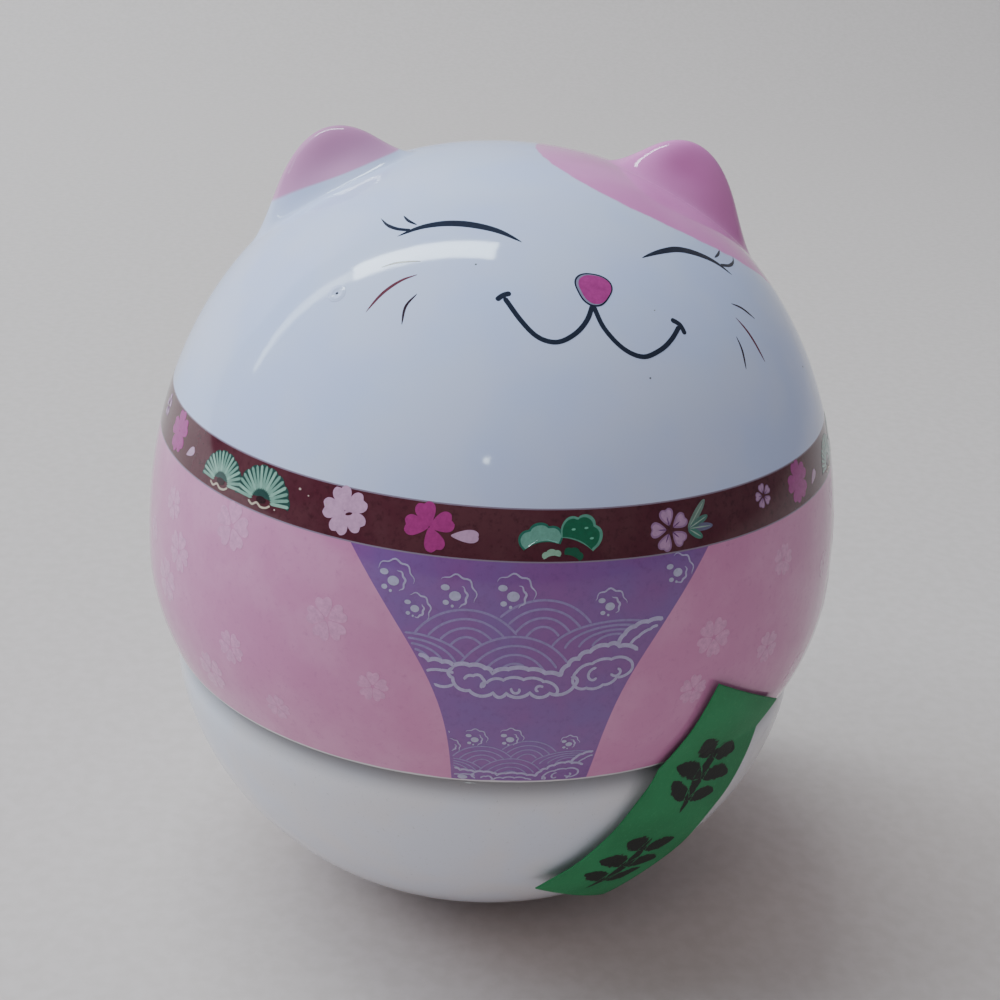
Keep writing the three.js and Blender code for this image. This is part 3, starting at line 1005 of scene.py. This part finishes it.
    @staticmethod
    def leaves(marks, chart):
        """Four pointed leaves spread to the right of the lilac blossom, each between two half
        waves of a sine."""
        for angle, length, ink in ((50, 3.4, "#73897f"), (22, 2.6, "#52786f"), (-2, 3.0, "#6b6a86"),
                                   (-34, 2.0, "#4b7f70")):
            t = np.linspace(0, np.pi, 16)
            upper = np.stack([length / 2 * (1 - np.cos(t)), 0.4 * np.sin(t)], -1)
            leaf = np.concatenate([upper * np.array([1, -1]), upper[::-1][1:-1]])
            marks.blob(chart, turn_flat(leaf, angle), ink, 0, 2)
            vein = turn_flat(np.array([[0.2, 0], [length * 0.9, 0]]), angle)
            marks.stroke(chart(vein), 0.1, "#9db5a4", 1, 8, "swell")


# Colours of the wave drawing: the fine ripples, the cloud edges and the foam
RIPPLE_INK = "#937fb2"
CLOUD_INK = "#b3a8cc"
FOAM_INK = "#b4b0cc"

# The ripples, back to front: middle's azimuth, base height, half width in degrees, height,
# and the angles from which and to which the arcs run
RIPPLES = (
    (2.1, 48.2, 8.3, 5.7, 30, 152),
    (-8.3, 46.75, 8.6, 5.9, 38, 158),
    (12.5, 48.6, 9.2, 2.9, 60, 176),
    (-16.0, 46.3, 8.3, 3.4, 12, 120),
    (-1.5, 44.2, 8.7, 6.0, 28, 150),
)

# Where the cloud's upper edge hides the ripples
CLOUD_TOP = ((-16, 47.4), (-10, 46.9), (-7.7, 47.2), (-4.7, 46.4), (-0.6, 47.1), (5.1, 46.0), (6.2, 47.4),
             (11, 49.2), (13.3, 49.1), (16, 50.8), (20, 51.2))

# Edges of the clouds: swell between nodes, line width, then azimuths and heights of the nodes
BOLD, FINE = 0.44, 0.3
CLOUD_EDGES = (
    (0.22, BOLD, ((-15, 47.5), (-13.5, 47.1), (-11.6, 47.1), (-10.0, 46.8), (-7.8, 47.0), (-5.6, 46.8),
                  (-4.6, 46.3), (-2.4, 46.8), (0.4, 46.8), (2.8, 46.4), (5.1, 46.0))),
    (0.3, BOLD, ((5.1, 46.0), (6.0, 47.2), (7.4, 47.8), (9.0, 48.5), (11.6, 49.0), (13.3, 48.8),
                 (16.2, 48.1))),
    (0.2, BOLD, ((13.2, 48.9), (14.0, 50.0), (15.6, 50.7), (17.6, 51.0), (20, 51.0))),
    (0.12, FINE, ((14.9, 48.8), (16.2, 49.6), (18.0, 50.2), (19.2, 50.4))),
    (-0.5, FINE * 1.15, ((-9.9, 46.6), (-10.0, 45.5), (-7.6, 44.3), (-4.3, 44.2), (-2.5, 44.2), (0.8, 44.3),
                         (3.6, 44.2), (7.0, 44.9), (6.4, 45.9))),
    (0.3, FINE, ((-5.9, 44.6), (-5.2, 45.3), (-3.0, 45.6), (-0.2, 45.7), (2.6, 45.5), (4.7, 44.5),
                 (3.8, 44.2))),
    (0.25, FINE, ((-8.4, 45.4), (-7.2, 45.9), (-5.9, 45.7), (-5.9, 44.7))),
    (0.25, FINE, ((7.0, 45.0), (7.2, 46.4), (9.4, 47.2), (12.2, 47.5), (14.8, 47.3), (15.4, 46.1),
                  (13.2, 45.5), (11.2, 44.8), (8.8, 44.6), (7.0, 45.0))),
    (0.1, FINE, ((-15.2, 45.9), (-13.6, 46.0), (-11.6, 46.2), (-9.9, 46.0))),
    (-0.35, FINE, ((-13.8, 45.3), (-12.6, 44.7), (-9.8, 44.9))),
)

# Curls in the clouds: azimuth, height, reach and the angle they start from
CURLS = ((9.9, 45.8, 0.95, 80), (13.2, 46.2, 0.7, 200), (-1.0, 44.6, 0.6, 160), (2.0, 44.6, 0.5, 30))

# Breaking tips of waves: azimuth, height, size and turn
CRESTS = ((-19.3, 54.6, 1.0, 15), (-15.9, 52.2, 0.75, -20), (-10.4, 53.9, 1.0, 0),
          (-2.3, 54.2, 1.05, 5), (11.6, 53.0, 0.85, 20), (22.3, 55.5, 0.9, -30))


class CAT_OT_robe_print(Operator):
    """Pale blossoms scattered on the robe and the wave drawing on the front panel"""
    bl_idname = "figurine.robe_print"
    bl_label = "Robe print"

    def execute(self, context):
        self.blossoms()
        self.marks = Marks()
        for self.move, self.scale in ((lambda path: path, 1.0), (self.lower_repeat, 0.68)):
            self.ripples()
            self.clouds()
            self.crests()
        print_on_shell(self.marks, "panel_waves")
        return {"FINISHED"}

    @staticmethod
    def blossoms():
        """Five-petalled blossoms in rows that are offset by half a step, each turned and moved a
        little by sines of its row and place."""
        marks = Marks()
        for row, row_z in enumerate((54.3, 48.6, 43.0, 37.6)):
            for k in range(16):
                azimuth = 22.5 * (k + 0.5 * (row % 2)) + 5 * math.sin(3.1 * k + 2 * row)
                azimuth = (azimuth + 180) % 360 - 180
                z = row_z + 1.1 * math.sin(2.3 * k + 1.7 * row)
                size = 2.1 + 0.5 * math.sin(1.9 * k + row)
                if abs(azimuth - PANEL_MIDDLE) < panel_half(z) + 5:
                    continue
                chart = chart_at(azimuth, z, 37 * k + 20 * row)
                for angle in range(0, 360, 72):
                    marks.blob(chart, petal(size, size * 0.84, angle, 0.16, 0.1), "#d898bf", 0, 3)
        print_on_shell(marks, "robe_blossoms")

    @staticmethod
    def lower_repeat(path):
        """The drawing comes again, smaller, below itself."""
        return np.stack([path[:, 0] * 0.62, 39.4 + 0.65 * (path[:, 1] - 55.2)], -1)

    @staticmethod
    def on_panel(path, margin=0.25):
        """Which points lie on the panel, at least margin inside its sides."""
        room = panel_half(path[:, 1]) - np.abs(path[:, 0] - PANEL_MIDDLE) - margin / MM_PER_DEGREE
        return (room > 0) & (path[:, 1] > SEAM_Z + 0.5) & (path[:, 1] < BAND_LOW - 0.1)

    def ink_path(self, x, z, width, ink, layer, shown=True, taper="round"):
        """Draws the stretches of a path that are shown and on the panel. x is in degrees."""
        path = self.move(np.stack([x, z], -1))
        keep = shown & self.on_panel(path)
        ends = np.flatnonzero(np.diff(np.concatenate([[0], keep.astype(int), [0]])))
        for start, stop in zip(ends[::2], ends[1::2]):
            if stop - start >= 3:
                run = place(*path[start:stop].T)
                self.marks.stroke(run, width * self.scale, ink, layer, stop - start, taper)

    def ripples(self):
        """Nested arcs like fish scales: ring k of a family is a half oval 1 - 0.21 k as wide and
        1 - 0.155 k as high. Each family hides those behind it, and the cloud hides them all."""
        cloud_x, cloud_z = np.array(CLOUD_TOP).T
        for order, (azimuth, base, half, high, start, stop) in enumerate(RIPPLES):
            for k in range(4):
                t = np.radians(np.linspace(start + 4 * k, stop - 4 * k, 60))
                x = azimuth + half * (1 - 0.21 * k) * np.cos(t)
                z = base + high * (1 - 0.155 * k) * np.sin(t)
                shown = z > np.interp(x, cloud_x, cloud_z) + 0.1
                for front_x, front_z, front_half, front_high, _, _ in RIPPLES[order + 1:]:
                    inside = ((x - front_x) / front_half) ** 2 + ((z - front_z) / front_high) ** 2
                    shown &= (inside > 1) | (z < front_z)
                self.ink_path(x, z, 0.24, RIPPLE_INK, 0, shown)

    def clouds(self):
        """The bank of clouds below the ripples: scalloped edges that swell to the left of each two
        nodes by swell x sin(pi t)^0.7, spiral curls and a drop of foam."""
        stretch = np.array([MM_PER_DEGREE, 1.0])
        t = np.linspace(0, 1, 11)[:-1, None]
        for swell, width, nodes in CLOUD_EDGES:
            nodes = np.array(nodes, float)
            step = np.diff(nodes, axis=0)
            along = unit(step * stretch)
            across = np.stack([-along[:, 1], along[:, 0]], -1) / stretch
            curve = nodes[:-1, None] + step[:, None] * t + swell * np.sin(np.pi * t) ** 0.7 * across[:, None]
            path = np.concatenate([curve.reshape(-1, 2), nodes[-1:]])
            self.ink_path(*path.T, width, CLOUD_INK, 1)
        t = np.linspace(0, 1, 24)
        for azimuth, z, reach, turn in CURLS:
            reach, angle = reach * (1 - 0.8 * t), math.radians(turn) + 4.2 * t
            self.ink_path(azimuth + reach * np.cos(angle) / MM_PER_DEGREE, z + reach * np.sin(angle),
                          FINE * 0.9, CLOUD_INK, 1)
        self.foam(-12.9, 45.5, 1.5, 1.0)

    def foam(self, azimuth, z, width, high):
        """A drop of foam, left out where it would cross the panel's edge."""
        at = self.move(np.array([[azimuth, z]], float))
        width, high = width * self.scale, high * self.scale
        if self.on_panel(at, 0.5 * width)[0]:
            self.marks.blob(chart_at(*at[0]), oval(width, high, 18), FOAM_INK, 2, 1)

    def crests(self):
        """Drops of foam under two wavy arcs, the outer one finer."""
        for azimuth, z, size, turn in CRESTS:
            for across, up, width, high in ((0, 0, 1.15, 0.95), (-1.0, 0.75, 0.85, 0.6),
                                            (-0.85, -0.7, 0.6, 0.5), (-0.2, -1.0, 0.3, 0.3)):
                self.foam(azimuth + across * size / MM_PER_DEGREE, z + up * size, width * size, high * size)
            for reach, start, stop, width in ((1.15, 60, -70, 0.2), (2.0, 135, -15, 0.16)):
                t = np.radians(turn + np.linspace(start, stop, 26))
                wavy = reach * size * (1 + 0.06 * np.sin(9 * t))
                self.ink_path(azimuth + wavy * np.cos(t) / MM_PER_DEGREE, z + wavy * np.sin(t),
                              width, CLOUD_INK, 1, taper="swell")


# The pinhole's place, and the specks: azimuth, height, size, ink and layer
PINHOLE = (-43.2, 77.7)
SPECKS = (
    # The first two specks are the pinhole's dark middle: painted shade in its hollow, which the mesh doesn't
    # sink
    (*PINHOLE, 0.34, "#5b5f70", 1), (*PINHOLE, 0.17, "#23262f", 2), (-13.7, 81.7, 0.2, "#3c4046", 0),
    (21.4, 73.0, 0.2, "#5a5c62", 0), (68.1, 69.0, 0.24, "#2c2e34", 0), (27.1, 78.2, 0.14, "#7f7f6f", 0),
)


class CAT_OT_glaze_flaws(Operator):
    """A pinhole with its raised ring and painted shade in its hollow, and a few dark specks fired into the
    glaze
    """
    bl_idname = "figurine.glaze_flaws"
    bl_label = "Glaze flaws"

    def execute(self, context):
        rings, n = 14, 40
        # A disc 2 mm across, raised along a ring as a bell curve and sunk into the glaze outside it
        r = np.concatenate([np.repeat(np.arange(1, rings + 1) / rings, n), [0]])
        a = np.concatenate([np.tile(loop(n), rings), [0]])
        height = 0.012 + 0.055 * np.exp(-((r - 0.62) / 0.16) ** 2) - 0.04 * np.clip(r - 0.85, 0, 1)
        points = on_skin(chart_at(*PINHOLE)(np.stack([r * np.cos(a), r * np.sin(a)], -1)), height)
        ring = make_object("glaze_pinhole", points, *disc_faces(rings, n))
        for name in ("panel", "patch", "ear", "inner", "bare"):
            store(ring, name, np.full(len(points), -1))
        give_thickness(ring, "glaze_thickness", 0.06)
        ride_on(ring, "shell", "printed_porcelain", printed_glazed_porcelain)
        marks = Marks()
        for azimuth, z, size, ink, layer in SPECKS:
            marks.blob(chart_at(azimuth, z), oval(size, size * 0.85, 14), ink, layer, 1)
        print_on_shell(marks, "glaze_specks")
        return {"FINISHED"}


def wrap_seal(flat, lift, length):
    """Lays flat points (x across, y up the strip) round the body on a slant. Above the seam they
    follow the shell; below it they follow a round curve of the bowl's depth. The strip bows to
    its right by a half sine along its length, stands off by the square of the distance below the
    seam, and ripples by a fine sine wave."""
    x, y = flat[..., 0], flat[..., 1]
    x = x + SEAL_BOW * np.sin(np.pi * np.clip((SEAL_ABOVE - y) / length, 0, 1))
    right = x * math.cos(SEAL_SLANT) + y * math.sin(SEAL_SLANT)
    down = x * math.sin(SEAL_SLANT) - y * math.cos(SEAL_SLANT)
    edge = float(shell_radius(SEAM_Z))
    tilt = np.clip(down, 0, None) / edge
    radius = np.where(down > 0, edge * np.cos(tilt), shell_radius(SEAM_Z - np.minimum(down, 0)))
    z = SEAM_Z - np.where(down > 0, BOWL_DEPTH * np.sin(tilt), down)
    out = lift + SEAL_STAND_OFF * (np.clip(-y, 0, None) / 25) ** 2
    out = out + SEAL_RIPPLE * np.sin(0.55 * y + 0.4 * x)
    return around(radius + out * np.cos(tilt), z - out * np.sin(tilt), SEAL_AZIMUTH + right / radius)


class CAT_OT_paper_seal(Operator):
    """Green paper strip gummed across the seam, with brushed marks"""
    bl_idname = "figurine.paper_seal"
    bl_label = "Paper seal"

    def execute(self, context):
        seal = context.scene.figurine_seal
        width, length, lift = seal.width / MM, seal.length / MM, seal.lift / MM
        rows, columns = 120, 50
        y = np.linspace(SEAL_ABOVE - length, SEAL_ABOVE, rows)[:, None]
        # The sides waver a little, and the ends are cut slightly askew
        x = np.linspace(-width / 2, width / 2, columns)[None, :] + 0.05 * np.sin(0.9 * y)
        skew = -0.4 - 0.6 * (SEAL_ABOVE - y) / length
        flat = np.stack([x, y + skew * x * 2 / width], -1).reshape(-1, 2)
        strip = make_object("paper_seal_strip", wrap_seal(flat, lift, length),
                            grid_faces(rows, columns, False)[:, ::-1])
        give_thickness(strip, "paper_thickness", 0.14)
        ride_on(strip, "seal", "green_paper", green_seal_paper, "paper_seal")

        marks = Marks(drop=lambda p, up: wrap_seal(p, lift + up, length))
        for base, flip in ((-3.4, 1), (-17.4, -1)):
            self.brush(marks, ((0.5 * flip, base + 5.0), (-0.3 * flip, base), (0.3 * flip, base - 5.0)), 1.7)
            for k, (reach, rise) in enumerate(((3.6, 0.9), (4.7, 0.3), (4.1, 1.1))):
                start = base + 3.0 - 3.0 * k
                for side in (-1, 1):
                    end = start + rise * (1 - 0.5 * side * flip) + 0.6
                    leaf = ((0, start), (0.5 * side * reach, start + 0.9), (side * reach, end))
                    self.brush(marks, leaf, 2.9 - 0.25 * k)
        ride_on(marks.finish("seal_brush_marks"), "seal", "green_paper", brushed_seal_ink)
        return {"FINISHED"}

    @staticmethod
    def brush(marks, points, width):
        """One stroke of the brush. Its colour comes from the material, not from this ink."""
        marks.stroke([(x, y, 0) for x, y in points], width, "#1b1d1c", 0, 36, "swell")


COOL, DAYLIGHT, WARM = (0.82, 0.96, 1.0), (0.72, 0.86, 1.0), (1.0, 0.95, 0.92)

# Lights: name, place and direction in metres, sizes, the setting that gives the power and its
# share, colour, turn about the direction, and whether the glaze reflects it
LIGHTS = (
    ("strip_light", (-0.54, 0.27, 1.28), (0, 0, -1), 0.98, 0.165, "strip_power", 1, COOL, 0.163, True),
    ("strip_light_far", (-2.62, 0.61, 1.28), (0, 0, -1), 3.2, 0.12, "strip_power", 0.8, COOL, 0.163, True),
    ("window", (-1.4, 0.1, 1.15), (1, -0.07, -0.8), 1.2, 1.2, "window_power", 1, DAYLIGHT, 0, False),
    ("overhead", (-0.2, 0.2, 1.3), (0.15, -0.15, -1), 0.9, 0.9, "fill_power", 1, DAYLIGHT, 0, False),
    ("soft_front", (-0.4, -0.9, 1.0), (0.4, 0.9, -0.95), 0.7, 0.7, "fill_power", 0.55, WARM, 0, False),
    ("glint", (-0.04, -0.9, 0.53), (0.04, 0.9, -0.44), 0.03, 0.03, "fill_power", 0.012, COOL, 0, True),
)

CAMERA_AT = (0, -0.1732, 0.1230)
CAMERA_LENS = 57.24
CAMERA_YAW, CAMERA_PITCH, CAMERA_ROLL = 0.005, 0.4135, 0.0638
STAGE_TURN = math.radians(-6)   # camera and lights stand a little to the cat's right


class CAT_OT_stage(Operator):
    """Pale seamless floor, soft lights, surround and camera"""
    bl_idname = "figurine.stage"
    bl_label = "Stage"

    def execute(self, context):
        self.floor()
        stage = context.scene.figurine_stage
        swing = Matrix.Rotation(STAGE_TURN, 4, "Z")
        for light in LIGHTS:
            self.light(context, stage, swing, *light)
        world = bpy.data.worlds.new("surround")
        world.use_nodes = True
        background = world.node_tree.nodes["Background"]
        background.inputs["Color"].default_value = COLOURS["surround"]
        background.inputs["Strength"].default_value = stage.sky
        context.scene.world = world
        self.camera(context, swing)
        return {"FINISHED"}

    @staticmethod
    def floor():
        """A sheet that lies flat and curves up behind in a quarter ellipse."""
        t = np.linspace(0, np.pi / 2, 60)[1:]
        run = np.concatenate([np.linspace(-900, 500, 20), 500 + 400 * np.sin(t), [900]])
        rise = np.concatenate([np.zeros(20), 400 * (1 - np.cos(t)), [1500]])
        side = np.linspace(-1600, 1600, 12)
        sheet = np.stack(np.broadcast_arrays(side, run[:, None], rise[:, None]), -1)
        floor = make_object("seamless_floor", sheet.reshape(-1, 3), grid_faces(len(run), 12, False)[:, ::-1])
        floor.data.materials.append(background_paper("background_paper"))

    @staticmethod
    def light(context, stage, swing, name, at, facing, size_x, size_y, setting, share, tint, turn, seen):
        """A rectangular light at a place, facing along a direction and turned about it. One that
        isn't seen lights the piece without a reflection in the glaze."""
        data = bpy.data.lights.new(name, "AREA")
        data.shape = "RECTANGLE"
        data.size, data.size_y = size_x, size_y
        data.energy = getattr(stage, setting) * share
        data.color = tint
        lamp = bpy.data.objects.new(name, data)
        facing = Vector(facing)
        spin = Matrix.Rotation(turn, 4, facing.normalized())
        aim = facing.to_track_quat("-Z", "Y").to_matrix().to_4x4()
        lamp.matrix_world = swing @ Matrix.Translation(at) @ spin @ aim
        lamp.visible_glossy = seen
        context.scene.collection.objects.link(lamp)

    @staticmethod
    def camera(context, swing):
        """A camera above the front, which looks down at it and leans a little to one side."""
        data = bpy.data.cameras.new("camera")
        data.sensor_width = 36
        data.lens = CAMERA_LENS
        data.clip_start = 0.01
        data.clip_end = 20
        camera = bpy.data.objects.new("camera", data)
        context.scene.collection.objects.link(camera)
        level = math.cos(CAMERA_PITCH)
        look = Vector((math.sin(CAMERA_YAW) * level, math.cos(CAMERA_YAW) * level, -math.sin(CAMERA_PITCH)))
        right = look.cross(Vector((0, 0, 1))).normalized()
        up = right.cross(look)
        x = math.cos(CAMERA_ROLL) * right + math.sin(CAMERA_ROLL) * up
        y = math.cos(CAMERA_ROLL) * up - math.sin(CAMERA_ROLL) * right
        pose = Matrix((x, y, -look)).transposed().to_4x4()
        pose.translation = CAMERA_AT
        camera.matrix_world = swing @ pose
        context.scene.camera = camera


PIECES = (CAT_OT_stage, CAT_OT_upper_shell, CAT_OT_lower_bowl, CAT_OT_cast_weight, CAT_OT_face_print,
          CAT_OT_collar_print, CAT_OT_robe_print, CAT_OT_glaze_flaws, CAT_OT_paper_seal)


class CAT_PT_figurine(Panel):
    """Lists the figurine's settings and pieces"""
    bl_label = "Porcelain cat figurine"
    bl_idname = "CAT_PT_figurine"
    bl_space_type = "VIEW_3D"
    bl_region_type = "UI"
    bl_category = "Figurine"

    def draw(self, context):
        layout = self.layout
        for group, _ in GROUPS:
            settings = getattr(context.scene, group)
            box = layout.box()
            for name in settings.__annotations__:
                box.prop(settings, name)
        for piece in PIECES:
            layout.operator(piece.bl_idname)


GROUPS = (("figurine", FigurineSettings), ("figurine_seal", SealSettings), ("figurine_stage", StageSettings))


def register():
    for name, group in GROUPS:
        bpy.utils.register_class(group)
        setattr(bpy.types.Scene, name, PointerProperty(type=group))
    for piece in PIECES:
        bpy.utils.register_class(piece)
    bpy.utils.register_class(CAT_PT_figurine)


def unregister():
    bpy.utils.unregister_class(CAT_PT_figurine)
    for piece in reversed(PIECES):
        bpy.utils.unregister_class(piece)
    for name, group in reversed(GROUPS):
        delattr(bpy.types.Scene, name)
        bpy.utils.unregister_class(group)


def main():
    register()
    for piece in PIECES:
        group, name = piece.bl_idname.split(".")
        getattr(getattr(bpy.ops, group), name)()


if __name__ == "__main__":
    main()
